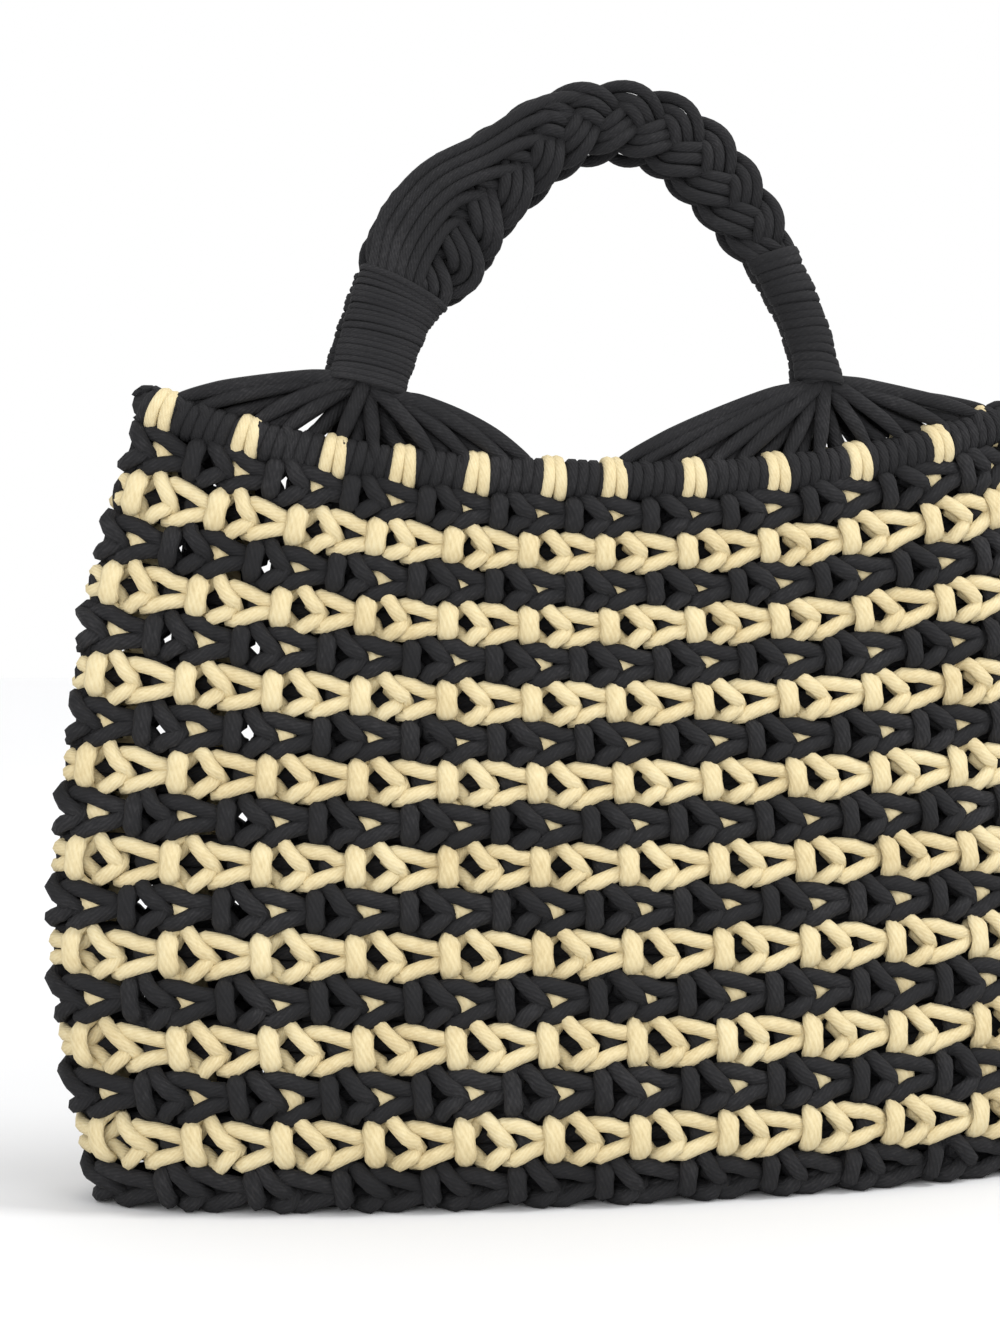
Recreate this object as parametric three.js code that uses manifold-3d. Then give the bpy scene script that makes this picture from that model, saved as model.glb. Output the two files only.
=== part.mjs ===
// A market tote of knotted cotton cord, standing on its base with both handles up.
// Millimetres, +Z up, front towards -Y, origin on the floor under the middle of the base.
import * as THREE from "three";
import { mergeVertices } from "three/addons/utils/BufferGeometryUtils.js";
import Module from "manifold-3d";

const wasm = await Module();
wasm.setup();

// Cord and fits
const CORD = 6; // cotton cord, across
const CLEARANCE = 0.3; // between pieces that lie against each other

// Body
const BAG_WIDTH = 384; // outside, fold to fold, at the widest level
const BAG_DEPTH = 104; // outside, front to back, at the deepest level
const ROWS_HEIGHT = 272; // all knotted rows together, at the side folds
const ROWS = 17; // black rows and cream rows by turns, black first and last
const KNOTS_ROUND = 24; // knots round the bag in one row
const MOUTH_DIP = 27.5; // how far the mouth sags between the folds
const WALL = 13; // knotted wall, from its face to its back
const RIB = 2.5; // how far a row bulges past its own edges
const BASE_THICKNESS = 12; // two cords deep
const RIM_ROUND = 14; // wrapped rim, across

// Gaps between the knots
const GAP_WIDTH = 7;
const GAP_HEIGHT = 9;
const GAP_ALONG = 0.3; // place of a gap between one knot and the next
const GAPS_ACROSS = 5; // cut through in each cream row of each face
const FIRST_GAP = 3; // knots from the fold to the first gap that is cut

// Handles
const FOOT_FROM_FOLD = 68; // along the rim's centre line, from a side fold to a foot of the handle
const HANDLE_RISE = 98; // from the feet to the top, centre line
const HANDLE_LEAN = 11; // centre line at the top, from the middle plane of the bag
const HANDLE_WIDTH = 44; // braid at its widest
const BRAID_THICKNESS = 13;
const BRAID_PITCH = 46; // along the handle, for a strand to cross over and back
const STRAND_THICKNESS = 7; // three cords side by side
const STRAND_SHARE = 0.48; // width of a strand, as a share of the braid's
const WRAP_LENGTH = 52; // from the foot to the upper end of the whipping
const WRAP_WALL = 2.3; // thin cord of the whipping
const FAN_HEIGHT = 14; // foot of the handle above the rim
const FAN_NECK = 9; // from the foot to the lower end of the whipping
const FAN_SPREAD = 108; // along the rim
const FAN_DROOP = 4; // how much lower the outer cords leave the bundle
const FAN_CORDS = 9;

// Fineness of the faceted surfaces
const STEPS_PER_PITCH = 6;
const POINTS_ACROSS_BRAID = 6;
const SIDES_OF_CORD = 5;
const SIDES_OF_ROLL = 8;
const STEPS_DOWN_FAN = 2;

// Outline of the body, a row for each level: height, width and depth as shares of the sizes above,
// fold 1 for an oval and more for a sharper fold at each side, tuck how many times as thick the wall
// is across that fold.
const LEVELS = [
  { height: 0.0, width: 0.91, depth: 0.93, fold: 0.85, tuck: 1.1 },
  { height: 0.09, width: 0.95, depth: 1.0, fold: 0.85, tuck: 1.1 },
  { height: 0.33, width: 1.0, depth: 0.76, fold: 1.1, tuck: 1.4 },
  { height: 0.6, width: 0.97, depth: 0.57, fold: 1.4, tuck: 1.8 },
  { height: 0.8, width: 0.93, depth: 0.5, fold: 1.5, tuck: 2.0 },
  { height: 1.0, width: 0.85, depth: 0.5, fold: 1.5, tuck: 2.0 },
];
const DIP_POWER = 2.2; // the rows near the mouth sag most

// Route of a handle, as shares of half its span, its rise and its width.
const HANDLE_ROUTE = [
  { across: -1.01, rise: 0.0, width: 0.52 },
  { across: -0.88, rise: 0.31, width: 0.68 },
  { across: -0.75, rise: 0.49, width: 0.93 },
  { across: -0.61, rise: 0.65, width: 0.92 },
  { across: -0.42, rise: 0.78, width: 0.74 },
  { across: -0.15, rise: 0.95, width: 0.64 },
  { across: 0.12, rise: 1.0, width: 0.66 },
  { across: 0.36, rise: 0.93, width: 0.74 },
  { across: 0.6, rise: 0.73, width: 0.72 },
  { across: 0.8, rise: 0.5, width: 0.5 },
  { across: 0.95, rise: 0.27, width: 0.41 },
  { across: 1.02, rise: 0.0, width: 0.42 },
];

const BLACK_COTTON = new THREE.MeshStandardMaterial({ color: 0x2b2b2d, roughness: 0.95, metalness: 0 });
const CREAM_COTTON = new THREE.MeshStandardMaterial({ color: 0xe4d1a3, roughness: 0.92, metalness: 0 });

// Reads one column of a table at any place of another column, on a smooth curve through its rows.
function readTable(table, place, value, at) {
  const last = table.length - 1;
  const next = Math.min(last, Math.max(1, table.findIndex((row) => row[place] >= at)));
  const slope = (i) => {
    const low = table[Math.max(0, i - 1)];
    const high = table[Math.min(last, i + 1)];
    return (high[value] - low[value]) / (high[place] - low[place]);
  };
  const from = table[next - 1];
  const to = table[next];
  const run = to[place] - from[place];
  const s = (at - from[place]) / run;
  return (
    from[value] * (1 + 2 * s) * (1 - s) ** 2 +
    slope(next - 1) * run * s * (1 - s) ** 2 +
    to[value] * s ** 2 * (3 - 2 * s) -
    slope(next) * run * s ** 2 * (1 - s)
  );
}

// A point of the body. Turn runs from the right fold over the back to the left fold and the front;
// inset is measured inwards from the outer face, and lift upwards from the level.
function bodyPoint(height, turn, inset, lift) {
  const at = (column) => readTable(LEVELS, "height", column, height);
  const halfWidth = (BAG_WIDTH / 2) * at("width");
  const halfDepth = (BAG_DEPTH / 2) * at("depth");
  const sine = Math.sin(turn);
  const x = (halfWidth - inset * at("tuck")) * Math.cos(turn);
  const y = (halfDepth - inset) * Math.sign(sine) * Math.abs(sine) ** at("fold");
  const sag = MOUTH_DIP * height ** DIP_POWER * (1 - (x / halfWidth) ** 2);
  return new THREE.Vector3(x, y, ROWS_HEIGHT * height - sag + lift);
}

// A mesh from sections of equally many points, each run anticlockwise as seen from the next section.
// In a closed ring the last strip, its underside, is split the other way, to match the ring it lies on.
function skin(sections, joined) {
  const around = sections[0].length;
  const positions = sections.flat().flatMap((p) => [p.x, p.y, p.z]);
  const faces = [];
  const count = sections.length;
  for (let i = 0; i < (joined ? count : count - 1); i++) {
    for (let j = 0; j < around; j++) {
      const a = i * around + j;
      const b = i * around + ((j + 1) % around);
      const c = ((i + 1) % count) * around + j;
      const d = ((i + 1) % count) * around + ((j + 1) % around);
      const underside = joined && j === around - 1;
      faces.push(...(underside ? [a, b, c, b, d, c] : [a, b, d, a, d, c]));
    }
  }
  if (!joined) {
    const end = (count - 1) * around;
    for (let j = 1; j < around - 1; j++) {
      faces.push(0, j + 1, j, end, end + j, end + j + 1);
    }
  }
  const geometry = new THREE.BufferGeometry();
  geometry.setAttribute("position", new THREE.Float32BufferAttribute(positions, 3));
  geometry.setIndex(faces);
  return geometry;
}

// A tube with a wall, from sections that list the outer ring of points and then the inner one.
function sleeve(sections, sides) {
  const positions = sections.flat().flatMap((p) => [p.x, p.y, p.z]);
  const faces = [];
  const quad = (a, b, d, c) => faces.push(a, b, d, a, d, c);
  const last = (sections.length - 1) * 2 * sides;
  for (let j = 0; j < sides; j++) {
    const k = (j + 1) % sides;
    for (let i = 0; i < last; i += 2 * sides) {
      quad(i + j, i + k, i + 2 * sides + k, i + 2 * sides + j);
      quad(i + sides + j, i + 3 * sides + j, i + 3 * sides + k, i + sides + k);
    }
    quad(k, j, sides + j, sides + k);
    quad(last + j, last + k, last + sides + k, last + sides + j);
  }
  const geometry = new THREE.BufferGeometry();
  geometry.setAttribute("position", new THREE.Float32BufferAttribute(positions, 3));
  geometry.setIndex(faces);
  return geometry;
}

// A closed mesh as a solid that can be cut and joined.
function solidOf(geometry) {
  const bare = geometry.clone();
  bare.deleteAttribute("normal");
  bare.deleteAttribute("uv");
  const merged = mergeVertices(bare, 1e-4);
  return new wasm.Manifold(
    new wasm.Mesh({
      numProp: 3,
      vertProperties: merged.attributes.position.array,
      triVerts: new Uint32Array(merged.index.array),
    }),
  );
}

function geometryOf(solid) {
  const mesh = solid.getMesh();
  const geometry = new THREE.BufferGeometry();
  geometry.setAttribute("position", new THREE.BufferAttribute(mesh.vertProperties, 3));
  geometry.setIndex(new THREE.BufferAttribute(mesh.triVerts, 1));
  return geometry;
}

// Solids joined into one; a small hollow shut in between them is filled.
const joinAll = (solids) =>
  solids
    .reduce((whole, next) => whole.add(next))
    .decompose()
    .sort((a, b) => b.volume() - a.volume())[0];

function named(name, geometry, material) {
  const mesh = new THREE.Mesh(geometry, material);
  mesh.name = name;
  return mesh;
}

// An oval section with the given half sizes along two directions.
function oval(centre, across, halfAcross, deep, halfDeep, sides) {
  return Array.from({ length: sides }, (_, i) => {
    const angle = (2 * Math.PI * (i + 0.5)) / sides;
    return centre
      .clone()
      .addScaledVector(across, halfAcross * Math.cos(angle))
      .addScaledVector(deep, halfDeep * Math.sin(angle));
  });
}

// The turns at which the knots sit, evenly spread along the outside of the body at half its height.
function knotTurns() {
  const FINE = 360;
  const turnOf = (i) => (2 * Math.PI * i) / FINE;
  const lengths = [0];
  for (let i = 1; i <= FINE; i++) {
    const step = bodyPoint(0.5, turnOf(i), 0, 0).distanceTo(bodyPoint(0.5, turnOf(i - 1), 0, 0));
    lengths.push(lengths[i - 1] + step);
  }
  return Array.from({ length: KNOTS_ROUND }, (_, knot) => {
    const wanted = (knot / KNOTS_ROUND) * lengths[FINE];
    const next = Math.max(1, lengths.findIndex((length) => length >= wanted));
    return turnOf(next - 1 + (wanted - lengths[next - 1]) / (lengths[next] - lengths[next - 1]));
  });
}

const turns = knotTurns();

// A diamond prism that passes through the wall between a knot and the next one.
function gapCutter(height, knot) {
  const here = bodyPoint(height, turns[knot], WALL / 2, 0);
  const next = bodyPoint(height, turns[(knot + 1) % KNOTS_ROUND], WALL / 2, 0);
  const up = new THREE.Vector3(0, 0, 1);
  const along = next.clone().sub(here).setZ(0).normalize();
  const outwards = along.clone().cross(up);
  const diamond = new THREE.Shape([
    new THREE.Vector2(-GAP_WIDTH / 2, 0),
    new THREE.Vector2(0, -GAP_HEIGHT / 2),
    new THREE.Vector2(GAP_WIDTH / 2, 0),
    new THREE.Vector2(0, GAP_HEIGHT / 2),
  ]);
  const depth = WALL + CORD;
  const prism = new THREE.ExtrudeGeometry(diamond, { depth, bevelEnabled: false });
  prism.translate(0, 0, -depth / 2);
  const place = new THREE.Matrix4().makeBasis(along, up, outwards);
  place.setPosition(here.lerp(next, GAP_ALONG));
  return solidOf(prism.applyMatrix4(place));
}

// One knotted row: a closed band between two levels, with a bulging face.
function rowBand(number) {
  const low = (number - 1) / ROWS;
  const high = number / ROWS;
  const middle = (low + high) / 2;
  const lowLift = number === 1 ? 0 : CLEARANCE / 2;
  const sections = turns.map((turn) => [
    bodyPoint(low, turn, WALL, lowLift),
    bodyPoint(high, turn, WALL, -CLEARANCE / 2),
    bodyPoint(high, turn, RIB, -CLEARANCE / 2),
    bodyPoint(middle, turn, 0, 0),
    bodyPoint(low, turn, RIB, lowLift),
  ]);
  return { middle, solid: solidOf(skin(sections, true)) };
}

function blackRow(number) {
  return geometryOf(rowBand(number).solid);
}

function creamRow(number) {
  const band = rowBand(number);
  let solid = band.solid;
  for (let i = 0; i < GAPS_ACROSS; i++) {
    const knot = FIRST_GAP + i;
    solid = solid.subtract(gapCutter(band.middle, knot));
    solid = solid.subtract(gapCutter(band.middle, KNOTS_ROUND / 2 + knot));
  }
  return geometryOf(solid);
}

// The base fills the bottom row and lies on the floor with it.
function basePanel() {
  const edge = (lift) => turns.map((turn) => bodyPoint(0, turn, WALL + 2 * CLEARANCE, lift));
  return skin([edge(0), edge(BASE_THICKNESS)], false);
}

// Centre line of the wrapped rim, which lies on the top row.
const rimCentre = (turn) => bodyPoint(1, turn, WALL / 2, RIM_ROUND / 2 + CLEARANCE / 2);

function rimRoll() {
  const radius = RIM_ROUND / 2;
  const sections = turns.map((turn) =>
    Array.from({ length: SIDES_OF_ROLL }, (_, i) => {
      const angle = (2 * Math.PI * (i + 0.5)) / SIDES_OF_ROLL;
      const inset = WALL / 2 + radius * Math.cos(angle);
      return bodyPoint(1, turn, inset, RIM_ROUND / 2 + CLEARANCE / 2 + radius * Math.sin(angle));
    }),
  );
  return skin(sections, true);
}

// The rim's centre line at a place across the front.
function rimAt(across) {
  const halfWidth = rimCentre(0).x;
  return rimCentre(2 * Math.PI - Math.acos(across / halfWidth));
}

// Centre line of the front handle, from its left foot to its right foot.
const halfSpan = rimCentre(0).x - FOOT_FROM_FOLD;
const feetHeight = rimAt(-halfSpan).z + RIM_ROUND / 2 + FAN_HEIGHT;
const handleLine = new THREE.CatmullRomCurve3(
  HANDLE_ROUTE.map(({ across, rise }) => {
    const x = across * halfSpan;
    const foot = rimAt(x).y;
    return new THREE.Vector3(x, foot + (-HANDLE_LEAN - foot) * rise, feetHeight + rise * HANDLE_RISE);
  }),
);
const handleLength = handleLine.getLength();
const handleShares = HANDLE_ROUTE.map(({ width }, i) => ({ place: i / (HANDLE_ROUTE.length - 1), width }));

// Where the handle is, which way its width and thickness point, and how wide it is, so far along it.
function handleStation(distance) {
  const share = distance / handleLength;
  const along = handleLine.getTangentAt(share);
  const across = new THREE.Vector3(0, 1, 0).cross(along).normalize();
  return {
    centre: handleLine.getPointAt(share),
    across,
    deep: along.clone().cross(across),
    width: HANDLE_WIDTH * readTable(handleShares, "place", "width", handleLine.getUtoTmapping(share)),
  };
}

const evenly = (from, to, steps) => Array.from({ length: steps + 1 }, (_, i) => from + ((to - from) * i) / steps);

// The braid from one whipping to the other, as the skin over three flat strands that swing from side
// to side a third of a pitch apart, and rise and sink twice as often to pass over and under each other.
function handleBraid() {
  const start = WRAP_LENGTH + CLEARANCE;
  const length = handleLength - 2 * start;
  const steps = Math.round((length / BRAID_PITCH) * STEPS_PER_PITCH);
  const sections = evenly(start, handleLength - start, steps).map((distance) => {
    const { centre, across, deep, width } = handleStation(distance);
    const halfStrand = (STRAND_SHARE * width) / 2;
    const strands = [0, 1, 2].map((strand) => {
      const phase = 2 * Math.PI * (distance / BRAID_PITCH + strand / 3);
      const side = (width / 2 - halfStrand) * Math.sin(phase);
      return { side, lift: ((BRAID_THICKNESS - STRAND_THICKNESS) / 2) * Math.sin(2 * phase) };
    });
    const sides = strands.map((strand) => strand.side);
    const low = Math.min(...sides) - halfStrand;
    const high = Math.max(...sides) + halfStrand;
    // How far the nearest strand stands out at a place across the braid, at the front or the back.
    const standsOut = (side, face) =>
      Math.max(
        ...strands.map((strand) => {
          const off = Math.min(1, Math.abs(side - strand.side) / halfStrand);
          return off < 1 ? face * strand.lift + (STRAND_THICKNESS / 2) * Math.sqrt(1 - off ** 2) : 0;
        }),
      );
    const places = evenly(1, 0, POINTS_ACROSS_BRAID + 1).slice(1, -1);
    const point = (share, face) => {
      const side = low + (high - low) * share;
      const out = face * standsOut(side, face);
      return centre.clone().addScaledVector(across, side).addScaledVector(deep, out);
    };
    return [
      point(1, 0),
      ...places.map((share) => point(share, 1)),
      point(0, 0),
      ...places.toReversed().map((share) => point(share, -1)),
    ];
  });
  return skin(sections, false);
}

// The handle near one foot as plain ovals, at distances from that foot, grown by an amount all round.
function footOvals(foot, distances, grown) {
  const ovals = distances.map((distance) => {
    const { centre, across, deep, width } = handleStation(foot === "left" ? distance : handleLength - distance);
    const halfWidth = width / 2 - WRAP_WALL - CLEARANCE + grown;
    return oval(centre, across, halfWidth, deep, BRAID_THICKNESS / 2 + grown, SIDES_OF_ROLL);
  });
  return foot === "left" ? ovals : ovals.reverse();
}

const wrapStations = evenly(FAN_NECK, WRAP_LENGTH, 3);

// The whipping: a sleeve round the cords at one end of the handle, open at both ends.
function wrapSleeve(foot) {
  const outer = footOvals(foot, wrapStations, WRAP_WALL + CLEARANCE);
  const inner = footOvals(foot, wrapStations, CLEARANCE);
  const around = outer.map((section, i) => [...section, ...inner[i]]);
  return sleeve(around, SIDES_OF_ROLL);
}

// The cords below the whipping: one bundle that opens into a fan, whose cords end on top of the rim.
function cordFan(foot) {
  const bundle = solidOf(skin(footOvals(foot, [0, ...wrapStations], 0), false));
  const { centre, across, width } = handleStation(foot === "left" ? 0 : handleLength);
  const sideways = across.multiplyScalar(Math.sign(across.x));
  const halfBundle = width / 2 - WRAP_WALL - CLEARANCE - CORD / 2;
  const cords = evenly(-1, 1, FAN_CORDS - 1).map((place) => {
    const landing = rimAt(centre.x + (place * FAN_SPREAD) / 2);
    landing.z += RIM_ROUND / 2 + CLEARANCE + CORD / 2;
    const start = centre.clone().addScaledVector(sideways, place * halfBundle);
    const shoulder = start.clone().lerp(landing, 0.55);
    shoulder.z = Math.max(landing.z, start.z - CORD / 2 - FAN_DROOP * Math.abs(place));
    const route = new THREE.CatmullRomCurve3([start, shoulder, landing]);
    const sections = evenly(0, 1, STEPS_DOWN_FAN).map((share) => {
      const along = route.getTangentAt(share);
      const across = new THREE.Vector3(0, 1, 0).cross(along).normalize();
      const deep = along.clone().cross(across);
      return oval(route.getPointAt(share), across, CORD / 2, deep, CORD / 2, SIDES_OF_CORD);
    });
    return solidOf(skin(sections, false));
  });
  return geometryOf(joinAll([bundle, ...cords]));
}

// The back handle is the front one seen in a mirror at the middle plane.
function mirrored(geometry) {
  const copy = geometry.clone();
  const position = copy.attributes.position;
  for (let i = 0; i < position.count; i++) {
    position.setY(i, -position.getY(i));
  }
  const index = Array.from(copy.index.array);
  for (let i = 0; i < index.length; i += 3) {
    [index[i + 1], index[i + 2]] = [index[i + 2], index[i + 1]];
  }
  copy.setIndex(index);
  return copy;
}

function body() {
  const group = new THREE.Group();
  group.add(named("base_panel", basePanel(), BLACK_COTTON));
  for (let number = 1; number <= ROWS; number++) {
    const order = String(number).padStart(2, "0");
    group.add(
      number % 2 === 1
        ? named("row_" + order + "_black", blackRow(number), BLACK_COTTON)
        : named("row_" + order + "_cream", creamRow(number), CREAM_COTTON),
    );
  }
  group.add(named("rim_roll", rimRoll(), BLACK_COTTON));
  return group;
}

function handles() {
  const group = new THREE.Group();
  const pieces = { handle_braid: handleBraid() };
  for (const foot of ["left", "right"]) {
    pieces["handle_" + foot + "_wrap"] = wrapSleeve(foot);
    pieces["handle_" + foot + "_fan"] = cordFan(foot);
  }
  for (const [name, geometry] of Object.entries(pieces)) {
    group.add(named("front_" + name, geometry, BLACK_COTTON));
    group.add(named("back_" + name, mirrored(geometry), BLACK_COTTON));
  }
  return group;
}

const tote = new THREE.Group();
tote.add(body(), handles());
export default tote;
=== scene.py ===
# %% [markdown]
# # A market tote of knotted cotton cord
#
# The bag stands on its base with both handles up. Its wall is a net of knots: rows of black cord and rows
# of cream cord by turns, joined by cords that climb from row to row. The rim is a roll wrapped in black
# cord, and each handle is a flat braid whose ends are bound with thin cord and opened out along the rim.
#
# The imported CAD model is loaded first. The cords below are laid where its solids are, and a piece that
# covers a solid stands for it.

import bpy
import numpy as np
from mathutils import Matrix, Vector


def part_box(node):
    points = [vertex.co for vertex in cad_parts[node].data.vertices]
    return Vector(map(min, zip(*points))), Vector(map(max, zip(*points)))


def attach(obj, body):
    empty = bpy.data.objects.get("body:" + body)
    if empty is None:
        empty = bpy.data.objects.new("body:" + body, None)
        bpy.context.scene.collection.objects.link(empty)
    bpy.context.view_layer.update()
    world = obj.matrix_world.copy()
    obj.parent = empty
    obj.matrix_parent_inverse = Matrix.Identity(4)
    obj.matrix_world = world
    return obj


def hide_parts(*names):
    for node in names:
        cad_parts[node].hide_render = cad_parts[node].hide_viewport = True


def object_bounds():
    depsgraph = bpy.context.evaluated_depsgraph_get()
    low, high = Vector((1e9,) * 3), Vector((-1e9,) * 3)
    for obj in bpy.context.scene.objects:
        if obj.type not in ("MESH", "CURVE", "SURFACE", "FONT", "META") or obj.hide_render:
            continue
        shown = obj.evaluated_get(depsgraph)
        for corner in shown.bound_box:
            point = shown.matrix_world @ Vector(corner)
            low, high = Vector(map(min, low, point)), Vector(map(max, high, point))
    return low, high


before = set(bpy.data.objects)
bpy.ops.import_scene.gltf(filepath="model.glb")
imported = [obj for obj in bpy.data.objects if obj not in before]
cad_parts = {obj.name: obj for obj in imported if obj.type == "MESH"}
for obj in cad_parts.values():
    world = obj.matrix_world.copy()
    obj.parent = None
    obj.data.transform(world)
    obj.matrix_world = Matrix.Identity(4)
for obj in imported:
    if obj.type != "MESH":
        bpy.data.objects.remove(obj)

MM = 0.001
cad_box = [list(corner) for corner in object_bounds()]
print("CAD box", np.round(cad_box, 4).tolist())

# %% [markdown]
# ## Sizes
#
# The width, the depth and the height of the rows are read from the model. What the model can't tell, such as
# the thickness of the cord, is named in metres where it is first needed.

# %% Sizes of the bag
row_names = sorted(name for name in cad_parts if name.startswith("row_"))
ROWS = len(row_names)
bag_width = cad_box[1][0] - cad_box[0][0]
bag_depth = cad_box[1][1] - cad_box[0][1]
rows_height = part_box(row_names[-1])[1][2]
row_height = rows_height / ROWS
print(ROWS, "rows of", round(row_height / MM, 1), "mm, bag", round(bag_width, 3), "x", round(bag_depth, 3))

# %% [markdown]
# ## The shape of the wall
#
# The body is an oval at the base and closes to a slit with sharp side folds at the mouth. It could be
# sculpted by hand, but then each knot would have to be fitted to it. So a short table gives the outline at
# six levels, and a smooth curve through its rows gives every level between. One function turns a height
# and a turn round the bag into a point, and another gives the direction out of the wall there. Each cord can
# then be drawn flat, as on a strip of paper, and bent round the bag.

# %% A smooth curve through the rows of a table
LEVELS = {
    "height": [0.0, 0.09, 0.33, 0.6, 0.8, 1.0],
    "width": [0.91, 0.95, 1.0, 0.97, 0.93, 0.85],
    "depth": [0.93, 1.0, 0.76, 0.57, 0.5, 0.5],
    "fold": [0.85, 0.85, 1.1, 1.4, 1.5, 1.5],
}


def curve_through(places, values, at):
    """Cubic pieces through the values: each leaves and meets one with the slope between its neighbours."""
    places = np.asarray(places, float)
    values = np.asarray(values, float)
    at = np.asarray(at, float)
    wide = values.ndim > 1
    low = np.maximum(np.arange(len(places)) - 1, 0)
    high = np.minimum(np.arange(len(places)) + 1, len(places) - 1)
    run = places[high] - places[low]
    slope = (values[high] - values[low]) / (run[:, None] if wide else run)
    to = np.clip(np.searchsorted(places, at), 1, len(places) - 1)
    gap = places[to] - places[to - 1]
    s = (at - places[to - 1]) / gap
    if wide:
        gap = gap[..., None]
        s = s[..., None]
    start = values[to - 1] * (1 + 2 * s) * (1 - s) ** 2 + slope[to - 1] * gap * s * (1 - s) ** 2
    end = values[to] * s**2 * (3 - 2 * s) - slope[to] * gap * s**2 * (1 - s)
    return start + end


# %% From a height and a turn to a point of the wall
MIDDLE_IN = 4.5 * MM
MOUTH_DIP = 27.5 * MM
DIP_GROWS = 2.2
BESIDE = 0.05


def outline_point(height, turn):
    """The middle of the wall at a height from 0 to 1.

    x is the half width times the cosine of the turn, y the half depth times the sine raised to the power
    'fold', each less the way in from the outer face. The level sags in the middle, more towards the mouth.
    """
    level = np.clip(height, 0, 1)
    width = curve_through(LEVELS["height"], LEVELS["width"], level)
    depth = curve_through(LEVELS["height"], LEVELS["depth"], level)
    fold = curve_through(LEVELS["height"], LEVELS["fold"], level)
    half_width = bag_width / 2 * width
    half_depth = bag_depth / 2 * depth
    sine = np.sin(turn)
    x = (half_width - MIDDLE_IN) * np.cos(turn)
    y = (half_depth - MIDDLE_IN) * np.sign(sine) * np.abs(sine) ** fold
    z = rows_height * height - MOUTH_DIP * level**DIP_GROWS * (1 - (x / half_width) ** 2)
    return np.stack(np.broadcast_arrays(x, y, z), axis=-1)


def unit(vectors):
    """Each vector divided by its length."""
    return vectors / np.maximum(np.linalg.norm(vectors, axis=-1, keepdims=True), 1e-12)


def way_along(points):
    """The distance from the first point to each point, as the sum of the steps between them."""
    steps = np.linalg.norm(np.diff(points, axis=0), axis=1)
    return np.concatenate([[0], np.cumsum(steps)])


def outwards(height, turn):
    """The direction out of the wall, square to the way round the bag and level with the floor."""
    way = outline_point(height, turn + BESIDE) - outline_point(height, turn - BESIDE)
    way[..., 2] = 0
    return unit(np.cross(way, [0, 0, 1.0]))


print("the mouth is", round(2 * outline_point(1.0, 0.0)[0] / MM), "mm wide")

# %% [markdown]
# ## Where the knots stand
#
# On the real bag the knots are tied one beside the other, so they stand evenly along the wall, and not at
# even turns. The length round the bag is measured once, and a lookup gives the turn of any knot. Hand-tied
# columns wander a little, which three gentle bells add.

# %% Knots are spread evenly round the bag
KNOTS_ROUND = 24
FACE_KNOTS = KNOTS_ROUND / 2
DRAWN = {"most": 0.2, "middle": 6.2, "reach": 2.4}
PUSHED = {"most": 0.3, "middle": 10.7, "reach": 0.9}
SLIPPED = {"most": 0.14, "middle": 10.4, "reach": 1.3, "power": 4}

fine_turns = np.linspace(0, 2 * np.pi, 721)
outline_passed = way_along(outline_point(0.5, fine_turns))
knots_passed = outline_passed / outline_passed[-1] * KNOTS_ROUND


def bell(at, most, middle, reach, power=2):
    """The most times e to the minus distance from the middle over the reach, raised to the power."""
    return most * np.exp(-(((at - middle) / reach) ** power))


def turn_at(knots, height=0.5):
    """The turn that lies so many knots round from the right fold, over the back first.

    Near the mouth the middle knots of each face are drawn a little to one side. Away from half height
    those beside a fold are pushed towards it. On the back, beside the left fold, the knots slip a little,
    so that a few gaps line up with those of the front and let the light through.
    """
    column = np.mod(knots, FACE_KNOTS)
    drawn = bell(column, **DRAWN) * np.clip((height - 0.5) / 0.4, 0, 1)
    pushed = bell(column, **PUSHED) * np.abs(height - 0.5) * 2
    slipped = bell(np.mod(knots, KNOTS_ROUND), **SLIPPED)
    knots = knots - drawn + pushed - slipped
    laps = np.floor(knots / KNOTS_ROUND)
    return np.interp(knots - laps * KNOTS_ROUND, knots_passed, fine_turns) + 2 * np.pi * laps


print("a knot takes", round(outline_passed[-1] / KNOTS_ROUND / MM, 1), "mm")

# %% [markdown]
# ## A cord
#
# Every cord is an oval profile carried along a path. Blender's curves with a bevel can do that too, but they
# roll over where a path turns back on itself, as it does in a knot. So the path comes as points, and a second
# list says which way is 'up' at each point. Many cords of the same kind go into one mesh. The UV map runs
# once round the cord, and along it in the same measure, for the threads of the cotton.

# %% Profiles carried along paths
rng = np.random.default_rng(17)


def rings(paths, ups, half_across, half_deep, sides, closed):
    """The rings of points round each station of each path.

    At a station the profile is an ellipse: the half width times the cosine along 'across', which is square
    to the path and to up, plus the half depth times the sine along the part of up square to the path.
    """
    if closed:
        tangent = np.roll(paths, -1, axis=1) - np.roll(paths, 1, axis=1)
    else:
        tangent = np.gradient(paths, axis=1)
    tangent = unit(tangent)
    across = unit(np.cross(np.broadcast_to(ups, paths.shape), tangent))[:, :, None]
    deep = np.cross(tangent, across[:, :, 0])[:, :, None]
    angle = (2 * np.pi * np.arange(sides) / sides)[:, None]
    wide = half_across[..., None, None]
    thick = half_deep[..., None, None]
    return paths[:, :, None] + wide * np.cos(angle) * across + thick * np.sin(angle) * deep


def tube_faces(count, stations, sides, closed):
    """Four-cornered faces between neighbouring rings, and a flat face at each open end."""
    grid = np.arange(count * stations * sides).reshape(count, stations, sides)
    ahead = np.roll(grid, -1, axis=1) if closed else grid[:, 1:]
    here = grid if closed else grid[:, :-1]
    beside = np.roll(here, -1, axis=2)
    both = np.roll(ahead, -1, axis=2)
    quads = np.stack([here, beside, both, ahead], axis=-1).reshape(-1, 4)
    ends = np.empty((0, sides), int) if closed else np.concatenate([grid[:, 0, ::-1], grid[:, -1]])
    return quads, ends


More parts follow.
